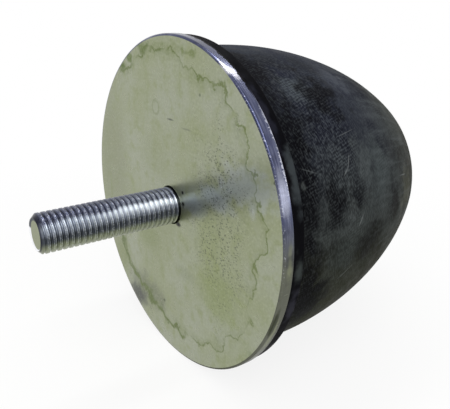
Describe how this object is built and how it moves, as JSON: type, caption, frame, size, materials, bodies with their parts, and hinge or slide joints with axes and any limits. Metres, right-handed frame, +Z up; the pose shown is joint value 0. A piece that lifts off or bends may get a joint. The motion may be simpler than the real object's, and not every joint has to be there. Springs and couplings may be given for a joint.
{
  "type": "conical rubber mount",
  "caption": "Conical rubber mount: a domed rubber cone moulded on a round steel plate, with a threaded stud standing out of the plate's face.",
  "frame": {"origin": "centre of the plate's outer face, where the mount is bolted down", "axes": "+Y along the mount's axis from the plate to the rubber nose, so the stud points to -Y; +Z up"},
  "size_m": [0.107, 0.1422, 0.107],
  "materials": {
    "plate_steel": "zinc plated and passivated",
    "stud_steel": "zinc plated",
    "moulded_rubber": "moulded, dull with grey bloom"
  },
  "bodies": {
    "root": {"base_plate": "plate_steel", "threaded_stud": "stud_steel", "rubber_body": "moulded_rubber"}
  },
  "joints": []
}
